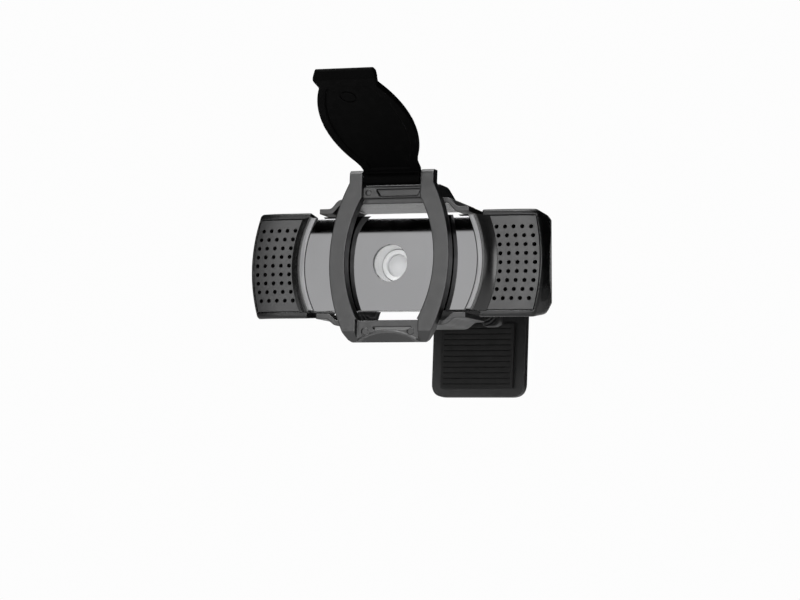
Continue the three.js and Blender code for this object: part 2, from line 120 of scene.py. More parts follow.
def slab(outline, start, end, view="front"):
    """A prism: an outline drawn in front view (x, z), plan (x, y) or side view (y, z)."""
    place = AXES[view]
    return skin("slab", [[place(a, b, depth) for a, b in outline] for depth in (start, end)])


def block(x0, x1, y0, y1, z0, z1):
    return slab([(x0, z0), (x1, z0), (x1, z1), (x0, z1)], y0, y1)


def rod(axis, radius, start, end, a=0.0, b=0.0, sides=64):
    """A cylinder along x or y; a and b are its place in the other two directions."""
    turns = [2 * math.pi * i / sides for i in range(sides)]
    circle = [(a + radius * math.cos(t), b + radius * math.sin(t)) for t in turns]
    return slab(circle, start, end, {"x": "side", "y": "front"}[axis])


def turned(profile, x=0.0, z=0.0, sides=96):
    """A closed profile of (radius, y) pairs turned about the Y direction."""
    vertices, faces = [], []
    count = len(profile)
    for i in range(sides):
        t = 2 * math.pi * i / sides
        vertices += [(x + r * math.cos(t), y, z + r * math.sin(t)) for r, y in profile]
    for i in range(sides):
        near, far = i * count, ((i + 1) % sides) * count
        for k in range(count):
            m = (k + 1) % count
            corner = [near + k, near + m, far + m, far + k]
            radii = [profile[k][0], profile[m][0]]
            if max(radii) < 1e-6:
                continue
            if radii[0] < 1e-6:
                corner = [near + k, near + m, far + m]
            elif radii[1] < 1e-6:
                corner = [near + k, near + m, far + k]
            faces.append(corner)
    return make("turned", vertices, faces)


def rounded(points, radius, steps):
    """A polygon with its corners rounded; radius is one number or one for each corner."""
    count = len(points)
    radii = radius if isinstance(radius, (list, tuple)) else [radius] * count
    outline = []
    for i, corner in enumerate(points):
        corner = Vector(corner)
        before, after = Vector(points[i - 1]), Vector(points[(i + 1) % count])
        one, two = (before - corner), (after - corner)
        reach = min(radii[i], one.length * 0.45, two.length * 0.45)
        if reach < 1e-4:
            outline.append(tuple(corner))
            continue
        start, end = corner + one.normalized() * reach, corner + two.normalized() * reach
        for k in range(steps + 1):
            t = k / steps
            point = start * (1 - t) ** 2 + corner * 2 * t * (1 - t) + end * t ** 2
            outline.append(tuple(point))
    return outline


def boolean(shape, others, how):
    for other in others:
        step = shape.modifiers.new(how, "BOOLEAN")
        step.operation = how
        step.solver = "MANIFOLD"
        step.object = other
        bake(shape)
        bpy.data.objects.remove(other)
    return shape


def join(shape, *others):
    return boolean(shape, others, "UNION")


def cut(shape, *others):
    return boolean(shape, others, "DIFFERENCE")


def common(shape, *others):
    return boolean(shape, others, "INTERSECT")


def bake(shape):
    """Applies a shape's modifiers to its mesh."""
    bpy.context.view_layer.update()
    graph = bpy.context.evaluated_depsgraph_get()
    mesh = bpy.data.meshes.new_from_object(shape.evaluated_get(graph))
    old = shape.data
    shape.modifiers.clear()
    shape.data = mesh
    bpy.data.meshes.remove(old)


# How finely each moulding is melted: voxel size, smoothing rounds, share of the triangles that is kept.
SHELL_MELT, COVER_MELT = (0.2, 5, 0.16), (0.13, 6, 0.16)
LID_MELT, CLIP_MELT = (0.13, 5, 0.2), (0.17, 5, 0.16)


def melt(shape, voxel, smooth, keep):
    """Rounds every edge as a moulding does: a fine even mesh, smoothed, then thinned out."""
    remesh = shape.modifiers.new("remesh", "REMESH")
    remesh.mode = "VOXEL"
    remesh.voxel_size = voxel * 1
    relax = shape.modifiers.new("relax", "SMOOTH")
    relax.factor = 0.5
    relax.iterations = smooth
    thin = shape.modifiers.new("thin", "DECIMATE")
    thin.ratio = keep
    bake(shape)
    return shape


def soften(shape, width, angle=SHARP):
    """Small rounded edges on a plain solid."""
    bevel = shape.modifiers.new("bevel", "BEVEL")
    bevel.width = width
    bevel.segments = 2
    bevel.limit_method = "ANGLE"
    bevel.angle_limit = math.radians(angle)
    bake(shape)
    return shape


def shade(shape, angle):
    """Smooth shading, with hard edges where the surface turns by more than an angle."""
    mesh = shape.data
    work = bmesh.new()
    work.from_mesh(mesh)
    for face in work.faces:
        face.smooth = True
    limit = math.radians(angle)
    for edge in work.edges:
        edge.smooth = not (edge.is_manifold and edge.calc_face_angle(0) > limit)
    work.to_mesh(mesh)
    work.free()


def finish_piece(shape, name, body, material, replaced, angle=SHARP, shift=(0, 0, 0)):
    """Scales a piece to metres, places it in the frame, and says what it rides on and stands for."""
    shape.name = name
    shape.data.name = name
    shape.data.transform(Matrix.Translation(LENS) @ Matrix.Scale(MM, 4) @ Matrix.Translation(shift))
    shade(shape, angle)
    shape.data.materials.clear()
    shape.data.materials.append(material)
    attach(shape, body)
    if replaced:
        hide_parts(*replaced)


# ---- materials: noise scales are in waves per metre, bump depths in metres ----
def nodes_of(name):
    material = bpy.data.materials.new(name)
    material.use_nodes = True
    tree = material.node_tree
    return material, tree, tree.nodes["Principled BSDF"]


def link(tree, source, output, target, entry):
    tree.links.new(source.outputs[output], target.inputs[entry])


def preset(node, values):
    """Gives a node's inputs their constant values."""
    for entry, value in values.items():
        node.inputs[entry].default_value = value


def noise(tree, scale, detail, rough=0.5):
    """Noise in the piece's own coordinates."""
    place = tree.nodes.new("ShaderNodeTexCoord")
    texture = tree.nodes.new("ShaderNodeTexNoise")
    preset(texture, {"Scale": scale, "Detail": detail, "Roughness": rough})
    link(tree, place, "Object", texture, "Vector")
    return texture.outputs["Fac"]


def stops(tree, source, marks):
    """A colour ramp over a socket's value: marks are (position, grey or colour) pairs."""
    blend = tree.nodes.new("ShaderNodeValToRGB")
    elements = blend.color_ramp.elements
    while len(elements) < len(marks):
        elements.new(0.5)
    for element, (position, value) in zip(elements, marks):
        element.position = position
        element.color = (*value, 1) if isinstance(value, tuple) else (value, value, value, 1)
    tree.links.new(source, blend.inputs["Fac"])
    return blend.outputs["Color"]


def ramp(tree, source, low, high, from_value=0.3, to_value=0.7):
    """A grey or colour that runs from low to high with a socket's value."""
    return stops(tree, source, [(from_value, low), (to_value, high)])


def feed(tree, entry, value):
    """Links an input to a socket, or gives it a plain value."""
    if isinstance(value, bpy.types.NodeSocket):
        tree.links.new(value, entry)
    else:
        entry.default_value = value


def patchy(tree, entry, scale, detail, low, high):
    """Feeds an input with a value or colour that drifts between low and high."""
    feed(tree, entry, ramp(tree, noise(tree, scale, detail), low, high))


def arithmetic(tree, how, first, second):
    node = tree.nodes.new("ShaderNodeMath")
    node.operation = how
    feed(tree, node.inputs[0], first)
    feed(tree, node.inputs[1], second)
    return node.outputs[0]


def mixed(tree, factor, first, second, how="MIX", kind="RGBA"):
    blend = tree.nodes.new("ShaderNodeMix")
    blend.data_type = kind
    blend.blend_type = how
    for entry, value in (("Factor", factor), ("A", first), ("B", second)):
        feed(tree, blend.inputs[entry], value)
    return blend.outputs["Result"]


def ranged(tree, source, low, high=1.0, smooth=False):
    """A socket's value counted from low to high as 0 to 1, and cut off at both ends."""
    fit = tree.nodes.new("ShaderNodeMapRange")
    fit.interpolation_type = "SMOOTHSTEP" if smooth else "LINEAR"
    preset(fit, {"From Min": low, "From Max": high})
    tree.links.new(source, fit.inputs["Value"])
    return fit.outputs["Result"]


def parts_of(tree, output):
    """The X, Y and Z sockets of one of the texture coordinates."""
    place = tree.nodes.new("ShaderNodeTexCoord")
    parts = tree.nodes.new("ShaderNodeSeparateXYZ")
    link(tree, place, output, parts, "Vector")
    return parts.outputs


def grain(tree, shader, scale, depth, strength=0.5):
    """A fine moulded texture: a bump of even grain."""
    bump = tree.nodes.new("ShaderNodeBump")
    preset(bump, {"Strength": strength, "Distance": depth})
    feed(tree, bump.inputs["Height"], noise(tree, scale, 3.0, 0.6))
    link(tree, bump, "Normal", shader, "Normal")


def shades(colour, spread):
    return tuple(c * (1 - spread) for c in colour), tuple(min(1, c * (1 + spread)) for c in colour)


def plastic(name, colour, rough, grain_scale=5200, grain_depth=0.00004, wear=0.0, spread=0.12,
            specular=0.5, coat=0.0):
    """Moulded plastic: clouded colour, uneven gloss and a fine grain; wear lightens the raised edges."""
    material, tree, shader = nodes_of(name)
    surface = ramp(tree, noise(tree, 140, 4.0), *shades(colour, spread))
    if wear:
        geometry = tree.nodes.new("ShaderNodeNewGeometry")
        edge = ramp(tree, geometry.outputs["Pointiness"], 0.0, 1.0, 0.52, 0.62)
        patch = ramp(tree, noise(tree, 900, 3.0), 0.0, 1.0, 0.45, 0.65)
        worn = (*(min(1, c + wear) for c in colour), 1)
        surface = mixed(tree, arithmetic(tree, "MULTIPLY", edge, patch), surface, worn)
    feed(tree, shader.inputs["Base Color"], surface)
    patchy(tree, shader.inputs["Roughness"], 420, 4.0, *rough)
    preset(shader, {"Specular IOR Level": specular, "Coat Weight": coat, "Coat Roughness": 0.18})
    grain(tree, shader, grain_scale, grain_depth)
    return material


def polish_under(material, level, polish=0.07, straight_down=-0.9):
    """Makes the faces that look straight down, above a level in metres, almost as smooth as glass."""
    tree = material.node_tree
    entry = tree.nodes["Principled BSDF"].inputs["Roughness"]
    rough = entry.links[0].from_socket
    facing = arithmetic(tree, "LESS_THAN", parts_of(tree, "Normal")["Z"], straight_down)
    above = arithmetic(tree, "GREATER_THAN", parts_of(tree, "Object")["Z"], level)
    both = arithmetic(tree, "MULTIPLY", facing, above)
    feed(tree, entry, mixed(tree, both, rough, polish, kind="FLOAT"))


def metal(name, colour):
    material, tree, shader = nodes_of(name)
    patchy(tree, shader.inputs["Base Color"], 260, 4.0, *shades(colour, 0.1))
    patchy(tree, shader.inputs["Roughness"], 900, 4.0, 0.22, 0.38)
    preset(shader, {"Metallic": 1.0})
    grain(tree, shader, 3000, 0.00001, 0.4)
    return material


def mirror_face(name, colour):
    """Half-silvered acrylic: an even grey mirror with the faintest haze."""
    material, tree, shader = nodes_of(name)
    patchy(tree, shader.inputs["Base Color"], 60, 3.0, *shades(colour, 0.03))
    patchy(tree, shader.inputs["Roughness"], 300, 5.0, 0.05, 0.09)
    preset(shader, {"Metallic": 1.0})
    return material


def clear(name, tint, alpha):
    """Thin clear glass seen as a faint sheen over what lies behind it."""
    material, tree, shader = nodes_of(name)
    patchy(tree, shader.inputs["Base Color"], 500, 3.0, *shades(tint, 0.02))
    patchy(tree, shader.inputs["Roughness"], 700, 4.0, 0.02, 0.06)
    preset(shader, {"Alpha": alpha, "IOR": 1.5})
    return material


def painted_reflection_lens(name, colour, painted_sheen_gain=1.35):
    """Pale coated glass: its pale grey is a painted reflection of a bright room, and a painted sheen makes it
    brighter where it turns away.
    """
    material, tree, shader = nodes_of(name)
    # Painted sheen: the base colour grows paler where the surface is seen at a slant.
    turn = tree.nodes.new("ShaderNodeLayerWeight")
    preset(turn, {"Blend": 0.35})
    edge = tuple(min(1, c * painted_sheen_gain) for c in colour)
    feed(tree, shader.inputs["Base Color"], ramp(tree, turn.outputs["Facing"], colour, edge, 0.1, 0.9))
    patchy(tree, shader.inputs["Roughness"], 800, 3.0, 0.3, 0.42)
    preset(shader, {"Coat Weight": 0.3, "Coat Roughness": 0.2})
    return material


def cloth_mesh(name, colour):
    """Woven acoustic mesh: a fine checked weave of dark threads."""
    material, tree, shader = nodes_of(name)
    place = tree.nodes.new("ShaderNodeTexCoord")
    bump = tree.nodes.new("ShaderNodeBump")
    preset(bump, {"Distance": 0.00005, "Strength": 0.7})
    waves = []
    for direction in ("X", "Z"):
        wave = tree.nodes.new("ShaderNodeTexWave")
        wave.bands_direction = direction
        preset(wave, {"Scale": 900})
        link(tree, place, "Object", wave, "Vector")
        waves.append(wave.outputs["Fac"])
    weave = arithmetic(tree, "MULTIPLY", *waves)
    feed(tree, bump.inputs["Height"], weave)
    feed(tree, shader.inputs["Base Color"], ramp(tree, weave, *shades(colour, 0.6), 0.1, 0.8))
    preset(shader, {"Roughness": 0.95})
    link(tree, bump, "Normal", shader, "Normal")
    return material


def circuit_board(name, colour):
    """Solder mask over copper tracks: a lacquer with a pattern of paler raised lines."""
    material, tree, shader = nodes_of(name)
    place = tree.nodes.new("ShaderNodeTexCoord")
    tracks = tree.nodes.new("ShaderNodeTexBrick")
    preset(tracks, {"Scale": 420, "Mortar Size": 0.03})
    for entry, gain in (("Color1", 1.0), ("Color2", 0.85), ("Mortar", 1.7)):
        preset(tracks, {entry: (*(c * gain for c in colour), 1)})
    link(tree, place, "Object", tracks, "Vector")
    link(tree, tracks, "Color", shader, "Base Color")
    bump = tree.nodes.new("ShaderNodeBump")
    preset(bump, {"Distance": 0.00004})
    link(tree, tracks, "Fac", bump, "Height")
    link(tree, bump, "Normal", shader, "Normal")
    patchy(tree, shader.inputs["Roughness"], 500, 2.0, 0.25, 0.4)
    return material


body_black = plastic("body_black", (0.004, 0.004, 0.0042), rough=(0.2, 0.28), wear=0.012)
grille_black = plastic("grille_black", (0.014, 0.014, 0.0143), rough=(0.34, 0.44), grain_scale=6500,
                       specular=0.95)
rim_gloss = plastic("rim_gloss", (0.008, 0.008, 0.008), rough=(0.16, 0.24), grain_scale=2600,
                    grain_depth=0.000008, coat=0.5)
cover_satin = plastic("cover_satin", (0.005, 0.005, 0.0053), rough=(0.3, 0.4), grain_scale=4800,
                      wear=0.02, specular=0.88)
UPPER_ARM_LEVEL = LENS.z + 15 * MM
polish_under(cover_satin, UPPER_ARM_LEVEL)
lid_matt = plastic("lid_matt", (0.0008, 0.0008, 0.0008), rough=(0.5, 0.62), grain_scale=4200, specular=0.035)
clip_black = plastic("clip_black", (0.006, 0.006, 0.0062), rough=(0.4, 0.52), wear=0.015)
rubber_matt = plastic("rubber_matt", (0.016, 0.016, 0.016), rough=(0.72, 0.86), grain_scale=3400,
                      grain_depth=0.00006, specular=0.3)
chip_black = plastic("chip_black", (0.015, 0.015, 0.016), rough=(0.45, 0.6), grain_scale=9000)
silver_paint = plastic("silver_paint", (0.24, 0.24, 0.245), rough=(0.28, 0.36), spread=0.04,
                       grain_depth=0.00001, coat=0.3)
well_paint = plastic("well_paint", (0.93, 0.93, 0.93), rough=(0.4, 0.5), spread=0.02,
                     grain_depth=0.00001)
ring_white = plastic("ring_white", (0.97, 0.97, 0.97), rough=(0.3, 0.4), spread=0.01,
                     grain_depth=0.00001, coat=0.4)
steel = metal("steel", (0.52, 0.52, 0.53))
brass = metal("brass", (0.66, 0.50, 0.22))
face_mirror = mirror_face("face_mirror", (0.116, 0.116, 0.118))
window_glass = clear("window_glass", (0.95, 0.97, 0.98), alpha=0.1)
# The lens glass's pale grey is a painted reflection of the bright room; the glass itself is dark.
lens_painted_reflection = painted_reflection_lens("lens_painted_reflection", (0.68, 0.68, 0.69))
acoustic_mesh = cloth_mesh("acoustic_mesh", (0.012, 0.012, 0.012))
board_green = circuit_board("board_green", (0.012, 0.07, 0.03))


# ---- head: outer form ----
HEAD = {"end": 42.5, "top": 14.5, "bow": 2.2, "bow_from": 27, "round": 2.6, "corner": 0.8, "wall": 1.6,
        "crown": 0.002, "brow": 0.4}
SHOULDER_FROM = {"slope": (30, 0.128), "drop": (34, 3.0)}
SHOULDER_AT_END = {1: {"slope": 0.06, "drop": 1.0}, -1: {"slope": 0.2, "drop": 3.2}}
PARTING = 12.15
PLATE = {"half": 24.9, "top": 12.6, "radius": 27.0, "thick": 1.2, "hole": 5}
RECESS = {"half": 25, "front": (-6, 13.6), "back": (30, 9.85), "far": 22}
WINDOW = {"top": 12.6, "near": 29.2, "near_bulge": 3, "far": 41.5, "far_bulge": 1.6}
HOLES = {"columns": 5, "rows": 9, "pitch": 2.4, "radius": 0.58, "first": 30.7, "curve": 32}
BOSS = {"x": 26, "z": 6.5, "outer": 3.4, "well": 2.5, "bore": 1.3}
LUG = {"near": 7.6, "far": 11.4, "radius": 4, "wall": 22.6}
PIN_BORE = {"radius": 1.8, "head": 2.9}
BEZEL = {"outer": 2.4, "inner": 1.75, "top": 12.95, "lens_hole": 6.4}
CORD_HOLE = {"x": 17, "radius": 2.6}
GAP = 0.12


def curve(start, control, end):
    """Points of a quadratic curve."""
    points = []
    for k in range(15):
        t = k / 14
        points.append(tuple(s * (1 - t) ** 2 + c * 2 * t * (1 - t) + e * t ** 2
                            for s, c, e in zip(start, control, end)))
    return points


FRONT_PLAN = ([(0, 2.2), (33, 2.2)] + curve((33, 2.2), (38.5, 2.2), (41.4, 3.0))
              + curve((41.4, 3.0), (42.5, 3.2), (42.5, 4.2)))
BACK_PLAN = ([(0, 24), (20, 24)] + curve((20, 24), (26, 24), (30, 23.4))
             + curve((30, 23.4), (41.9, 21), (42.5, 12.6)))


def along(plan, x):
    """The depth y of a plan's edge at a distance x from the middle."""
    return float(np.interp(x, [p[0] for p in plan], [p[1] for p in plan]))


def head_section(x, inset):
    """The head's outline in side view (y, z) at a distance x from its middle."""
    reach = min(x + inset, HEAD["end"])
    front, back = along(FRONT_PLAN, reach) + inset, along(BACK_PLAN, reach) - inset
    turn = max(0.0, reach - (HEAD["end"] - HEAD["corner"])) / HEAD["corner"]
    top = HEAD["top"] - HEAD["corner"] * (1 - math.sqrt(max(0.0, 1 - turn ** 2))) - inset
    depth = back - front
    brow = top - HEAD["brow"]
    y2, y3 = front + min(1.0, 0.2 * depth), back - min(2.2, 0.22 * depth)
    front_edge = [(front + HEAD["crown"] * z * z, z) for z in np.linspace(-brow, brow, 15)]

    def at_reach(word, sign):
        start, value = SHOULDER_FROM[word]
        return float(np.interp(reach, [start, 42], [value, SHOULDER_AT_END[sign][word]]))

    def shoulder(sign):
        """The upper or lower edge: squarer at the head's ends on top, rounder below."""
        drop = at_reach("drop", sign)
        z3 = top - at_reach("slope", sign) * (y3 - y2)
        corners = [front_edge[-1], (y2, top), (y3, z3), (back, z3 - drop)]
        points = rounded(corners, [0.0, 0.5, drop * 0.86, 0.0], 4)
        return [(y, sign * z) for y, z in points[1:]]

    return front_edge + shoulder(1) + shoulder(-1)[::-1]


def bow_end(x, z):
    """Curves the head's ends inwards above and below the middle."""
    share = min(1.0, max(0.0, (abs(x) - HEAD["bow_from"]) / (HEAD["end"] - HEAD["bow_from"])))
    weight = share * share * (3 - 2 * share)
    return x - math.copysign(HEAD["bow"] * (z / HEAD["top"]) ** 2 * weight, x)


def head_form(inset):
    """The closed outer form of the head, or the same form shrunk by inset."""
    end = HEAD["end"] - inset
    straight = list(np.linspace(0, end - HEAD["round"], 26))
    round_end = [end - HEAD["round"] * (1 - math.sin(t)) for t in np.linspace(0, math.pi / 2, 14)[1:]]
    half = straight + round_end
    stations = [-x for x in reversed(half[1:])] + half
    loops = [(x, head_section(abs(x), inset)) for x in stations]
    for index in (0, -1):
        x, section = loops[index]
        centre = sum(y for y, z in section) / len(section)
        for scale in (0.75, 0.45, 0.15):
            ring = [(centre + (y - centre) * scale, z * scale) for y, z in section]
            loops = loops + [(x, ring)] if index else [(x, ring)] + loops
    return skin("head", [[(bow_end(x, z), y, z) for y, z in section] for x, section in loops])


def recess_cutters(inset=0.0):
    """The spaces above and below the middle of the head, which the cover's arms lie in."""
    half = RECESS["half"] + inset
    (y0, z0), (y1, z1) = RECESS["front"], RECESS["back"]
    wedge = [(y0, z0 - inset), (y1, z1 - inset), (y1, RECESS["far"]), (y0, RECESS["far"])]
    below = [(y, -z) for y, z in wedge]
    return [slab(wedge, -half, half, "side"), slab(below, -half, half, "side")]


def plate_outline(grow, top, steps=28):
    """The faceplate's outline, grown by a distance and cut flat at a height: its two ends are arcs."""
    radius = PLATE["radius"] + grow
    centre = PLATE["half"] - PLATE["radius"]
    angle = math.asin(top / radius)
    right = [(centre + radius * math.cos(t), radius * math.sin(t)) for t in np.linspace(-angle, angle, steps)]
    return right + [(-x, -z) for x, z in right]


def grille_window(side, grow):
    """A cutter for the space that a grille fills, with its inner and outer ends bowed outwards."""
    top, near, far = WINDOW["top"] + grow, WINDOW["near"] - grow, WINDOW["far"] + grow
    inner, outer = WINDOW["near_bulge"], WINDOW["far_bulge"]
    outline = (curve((near - inner, -top), (near + inner, 0), (near - inner, top))
               + curve((far - outer, top), (far + outer, 0), (far - outer, -top)))
    return slab([(side * x, z) for x, z in outline], -1.0, 9.5)


def between(y0, y1):
    """A block wider and taller than the head, between two depths."""
    return block(-60, 60, y0, y1, -30, 30)


def half_space(side, y0, y1, z0, z1, reach=60):
    """A block on one side of the middle."""
    return block(min(0, side * reach), max(0, side * reach), y0, y1, z0, z1)


def both_ways(near, far):
    """The same stretch of x on the right and on the left."""
    return (near, far), (-far, -near)


def hollowed(inset):
    """The head's form with the recesses, shrunk by inset."""
    return cut(head_form(inset), *recess_cutters(inset))


def front_shell():
    shell = head_form(0)
    join(shell, slab(plate_outline(BEZEL["outer"], BEZEL["top"]), 0, 5))
    cut(shell, *recess_cutters(), between(PARTING, 40), hollowed(HEAD["wall"]))
    cut(shell, slab(plate_outline(BEZEL["inner"], 16), -2, PLATE["thick"] + 0.3))
    cut(shell, rod("y", BEZEL["lens_hole"], -1, 8))
    cut(shell, grille_window(1, GAP), grille_window(-1, GAP))
    return melt(shell, *SHELL_MELT)


def rear_shell():
    shell = head_form(0)
    cut(shell, *recess_cutters(), between(-10, PARTING + GAP))
    y, z, radius = HINGE.y, HINGE.z, LUG["radius"]
    for x0, x1 in both_ways(LUG["near"], LUG["far"]):
        arm = join(block(x0, x1, LUG["wall"], y, z - radius, z + radius), rod("x", radius, x0, x1, y, z))
        flank = [(22.5, z - 9.5), (22.5, z + 9.5), (y - 1.5, z + 3.6), (y - 1.5, z - 3.6)]
        join(shell, arm, slab(flank, x0, x1, "side"))
    cut(shell, hollowed(HEAD["wall"]))
    tongue = common(hollowed(0.7), between(PARTING - 1.2, PARTING + 1))
    join(shell, cut(tongue, hollowed(HEAD["wall"] + 0.3)))
    for x in (-BOSS["x"], BOSS["x"]):
        for height in (-BOSS["z"], BOSS["z"]):
            join(shell, rod("y", BOSS["outer"], PARTING + 0.2, 23, x, height, 40))
            cut(shell, rod("y", BOSS["well"], 16, 30, x, height, 40),
                rod("y", BOSS["bore"], PARTING - 2, 20, x, height, 32))
    cut(shell, rod("x", PIN_BORE["radius"], -14, 14, y, z, 40))
    cut(shell, *(rod("x", PIN_BORE["head"], x0, x0 + 4, y, z, 48) for x0 in (-14, 10)))
    cut(shell, rod("y", CORD_HOLE["radius"], 20, 30, CORD_HOLE["x"], 0, 40))
    return melt(shell, *SHELL_MELT)


def grille(side):
    """A grille of the head's own form: a skin that fills its window with a gap, and rows of holes."""
    plate = cut(head_form(GAP), head_form(1.3))
    common(plate, grille_window(side, -GAP / 2))
    middle, pitch, bend = HOLES["rows"] // 2, HOLES["pitch"], HOLES["curve"]
    holes = make("holes", [], [])
    for column in range(HOLES["columns"]):
        for row in range(HOLES["rows"]):
            z = (row - middle) * pitch
            x = side * (HOLES["first"] + column * pitch - (bend - math.sqrt(bend * bend - z * z)))
            together(holes, rod("y", HOLES["radius"], 0, 9, x, z, 28))
    return cut(plate, holes)


def together(shape, other):
    """Adds another mesh's parts to a shape without cutting either."""
    work = bmesh.new()
    work.from_mesh(shape.data)
    work.from_mesh(other.data)
    work.to_mesh(shape.data)
    work.free()
    bpy.data.objects.remove(other)
    return shape


BAND = [(1.55, 0.05), (1.9, 0.0), (2.5, 0.25), (3.1, 0.9), (3.7, 1.5), (4.35, 1.95), (4.9, 2.12), (4.9, 3.6),
        (1.55, 3.6)]


def rim_band(side):
    """The dark hollow curve between the faceplate's trim and the grille, from BAND's (outwards, y) points."""
    centre = PLATE["half"] - PLATE["radius"]
    loops = []
    for z in np.linspace(-12.85, 12.85, 40):
        crowns = [HEAD["crown"] * z * z * min(1, max(0, (out - 2.5) / 2.4)) for out, y in BAND]
        loops.append([(side * (centre + math.sqrt((PLATE["radius"] + out) ** 2 - z * z)), y + crown, z)
                      for (out, y), crown in zip(BAND, crowns)])
    return skin("band", loops)


def trim(side):
    """A thin silver arc along one end of the faceplate."""
    ring = slab(plate_outline(1.5, PLATE["top"], 60), -0.1, 1.2)
    cut(ring, slab(plate_outline(0.25, 16, 60), -1, 3))
    common(ring, half_space(side, -5, 5, -20, 20))
    return soften(ring, 0.16)


finish_piece(front_shell(), "front_shell", "head", body_black, ["front_housing"])
finish_piece(rear_shell(), "rear_shell", "head", body_black, ["rear_housing"])
for word, side in (("left", -1), ("right", 1)):
    finish_piece(grille(side), f"grille_face_{word}", "head", grille_black, [f"grille_{word}"])
    finish_piece(rim_band(side), f"rim_band_{word}", "head", rim_gloss, ())
    finish_piece(trim(side), f"silver_arc_{word}", "head", silver_paint, [f"trim_arc_{word}"],
                 50)


def face_plate(roll_from=6.9, softness=50):
    """The mirror plate: flat, but its top edge rolls gently backwards."""
    plate = slab(plate_outline(0.0, PLATE["top"] + 0.25, 60), 0, PLATE["thick"])
    roll = [((z - roll_from) ** 2 / softness, z) for z in np.linspace(roll_from, 14, 40)]
    common(plate, slab([(3, -14), (0, -14)] + roll + [(3, 14)], -40, 40, "side"))
    cut(plate, rod("y", PLATE["hole"], -1, 3, sides=96))
    return soften(plate, 0.12, 50)


finish_piece(face_plate(), "mirror_plate", "head", face_mirror, ["faceplate"], 12)

# ---- lens ----
WELL = [(5.0, 1.45), (6.15, 1.45), (6.15, 6.0), (4.6, 6.0), (4.55, 5.6), (4.75, 5.2), (4.8, 3.0), (4.95, 2.2)]
RING = [(3.1, 5.35), (3.3, 5.2), (4.15, 5.2), (4.3, 5.4), (4.3, 6.0), (3.9, 6.15), (3.9, 10.2), (2.5, 10.2),
        (2.5, 7.25), (3.1, 7.15)]


def window_disc():
    return soften(rod("y", 4.85, 0.15, 0.75, sides=96), 0.1)


def dome(radius, front, back, rise, arc=0.9):
    """A lens: a front that bulges by rise, an edge, and a flat back."""
    profile = [(radius * math.sin(t), front + rise * (1 - math.cos(t)) / (1 - math.cos(arc)))
               for t in np.linspace(0, arc, 10)]
    scale = radius / profile[-1][0]
    return turned([(r * scale, y) for r, y in profile] + [(radius, back), (0, back)])


def focus_ring(middle=3.75, pit=0.28):
    """The barrel's bright ring, with two small pits for a focusing key."""
    ring = turned(RING)
    for angle in (2.55, 3.75):
        x, z = middle * math.cos(angle), middle * math.sin(angle)
        cut(ring, rod("y", pit, 5.0, 5.6, x, z, 20))
    return ring


finish_piece(window_disc(), "lens_cover_glass", "head", window_glass, ["lens_window"], 50)
finish_piece(turned(WELL), "lens_funnel", "head", well_paint, ["lens_well"], 30)
finish_piece(focus_ring(), "focus_barrel", "focus_lens", ring_white, ["lens_barrel"], 30)
ELEMENTS = [("front", 2.95, 5.55, 6.9, 0.75), ("middle", 2.1, 7.3, 8.4, 0.3), ("rear", 2.1, 8.9, 9.9, 0.3)]
for word, radius, front, back, rise in ELEMENTS:
    finish_piece(dome(radius, front, back, rise), f"{word}_element", "focus_lens", lens_painted_reflection,
                 [f"{word}_lens"], 30)

# ---- privacy cover ----
# BACK and FRONT are the frame's faces, and ROOM the floor of the space that the lid's root and tab lie in.
BACK, FRONT, ROOM = -0.4, -3.6, -2.2
ARM = {"front": -1.1, "thick": 1.45, "end": 21.6, "outer": 18.3, "inner": 15.6, "miter": 0.5}
UPPER_ARM = {"side": 1, "back": 17.4, "flange": 13.0, "raised": 15.5, "slope": 0.0}
LOWER_ARM = {"side": -1, "back": 15.5, "flange": 14.1, "raised": 16.0, "slope": 0.035}
LID_BORE = 1.0
LEG_BORE = 1.3
HUMP = [(-0.5, 16.2), (17, 16.2), (17, 17.2), (8.4, 21), (1.6, 21), (1.3, 19.8), (-0.5, 19.8)]
GROOVE = [(8.9, 21.5), (8.9, 20.2), (16.2, 17.0), (16.2, 21.5)]
NOTCH = {"radius": 15.5, "peak": -19.75, "rim": 0.75, "back": -0.7, "back_radius": 13.2}
TRAY = [(-3.7, 17.35), (7.1, 17.35), (8.1, 19.35), (-4.9, 19.35)]
SLIT = [(-4.6, -18.0), (7.0, -18.0), (6.4, -18.7), (-4.0, -18.7)]
STUDS = [(0.9, -6.6, -19.2), (0.9, 6.6, -19.2), (0.7, -6.9, 18.4)]


def bar(half, radius, middle, z):
    """How far out a bowed edge lies at a height z: half is its widest, at the height middle."""
    return half - radius + math.sqrt(radius * radius - (z - middle) ** 2)


def outer_bar(z):
    return bar(17.25, 45.2, 0.1, z)


def inner_bar(z):
    return bar(12.8, 34.0, 0.3, z)


def both_sides(half):
    """An outline's half and its mirror image."""
    return half + [(-x, z) for x, z in reversed(half)]


def arm_strip(side, back, flange, raised, slope):
    """The arm over or under the head: flanges at its ends and a raised middle, in front view."""
    end, outer, inner, miter = ARM["end"], ARM["outer"], ARM["inner"], ARM["miter"]
    flange_top, raised_top = flange + ARM["thick"], raised + ARM["thick"]
    near = both_sides([(-end, flange), (miter - outer, flange), (-inner, raised)])
    far = both_sides([(end, flange_top), (outer, flange_top), (inner + miter, raised_top)])
    outline = rounded(near + far, [0.1, 0.5, 0.7, 0.7, 0.5, 0.1, 0.1, 0.7, 1.0, 1.0, 0.7, 0.1], 4)
    strip = slab([(x, side * z) for x, z in outline], ARM["front"], back)
    plan = rounded([(-end, -5), (end, -5), (end, back), (-end, back)], [0.1, 0.1, 2.5, 2.5], 6)
    common(strip, slab(plan, -30, 30, "plan"))
    lean = Matrix.Identity(4)
    lean[2][1] = -side * slope
    lean[2][3] = side * slope * ARM["front"]
    strip.data.transform(lean)
    return strip


